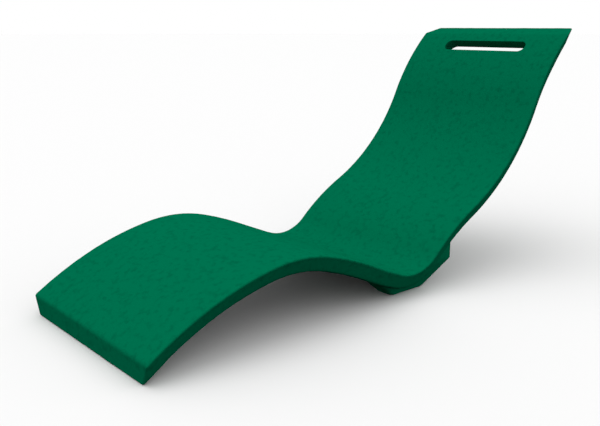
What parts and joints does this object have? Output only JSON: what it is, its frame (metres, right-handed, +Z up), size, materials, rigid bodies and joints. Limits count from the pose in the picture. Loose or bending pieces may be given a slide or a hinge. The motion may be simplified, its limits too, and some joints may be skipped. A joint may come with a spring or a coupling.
{
  "type": "in-pool lounger",
  "caption": "Wave-shaped hollow moulded lounger for a pool ledge, with a hand slot, a two-runner base, screw-plugged ballast ports and rubber runner pads.",
  "frame": {"origin": "on the floor, under the middle of the lounger's length and width", "axes": "+X across the lounger, +Y along it from the foot end to the head end, +Z up"},
  "size_m": [0.6698, 1.8511, 0.8452],
  "materials": {
    "shell_plastic": "grained",
    "plug_plastic": "satin",
    "rubber": "matte",
    "brass": "machined",
    "stainless_steel": "satin"
  },
  "bodies": {
    "frame": {"shell": "shell_plastic", "fill_insert": "brass", "drain_insert": "brass", "right_pad": "rubber", "left_pad": "rubber", "right_pad_bush_1": "brass", "right_pad_bush_2": "brass", "left_pad_bush_1": "brass", "left_pad_bush_2": "brass", "right_pad_screw_1": "stainless_steel", "right_pad_screw_2": "stainless_steel", "left_pad_screw_1": "stainless_steel", "left_pad_screw_2": "stainless_steel"},
    "fill_seal": {"fill_gasket": "rubber"},
    "fill_plug": {"fill_plug": "plug_plastic"},
    "drain_seal": {"drain_gasket": "rubber"},
    "drain_plug": {"drain_plug": "plug_plastic"}
  },
  "joints": [
    {"name": "fill_travel", "type": "slide", "parent": "frame", "child": "fill_seal", "axis": [0, 0.8509, -0.5254], "range_m": [0, 0.0301]},
    {"name": "fill_turn", "type": "hinge", "parent": "fill_seal", "child": "fill_plug", "pos_m": [0, 0.75295, 0.61964], "axis": [0, 0.8509, -0.5254], "range_deg": [0, 2160]},
    {"name": "drain_travel", "type": "slide", "parent": "frame", "child": "drain_seal", "axis": [0, 0.6259, -0.7799], "range_m": [0, 0.0301]},
    {"name": "drain_turn", "type": "hinge", "parent": "drain_seal", "child": "drain_plug", "pos_m": [0, 0.20515, 0.0443], "axis": [0, 0.6259, -0.7799], "range_deg": [0, 2160]}
  ],
  "couplings": [
    {"joint": "fill_travel", "follows": "fill_turn", "m_per_rad": 0.00079577},
    {"joint": "drain_travel", "follows": "drain_turn", "m_per_rad": 0.00079577}
  ]
}
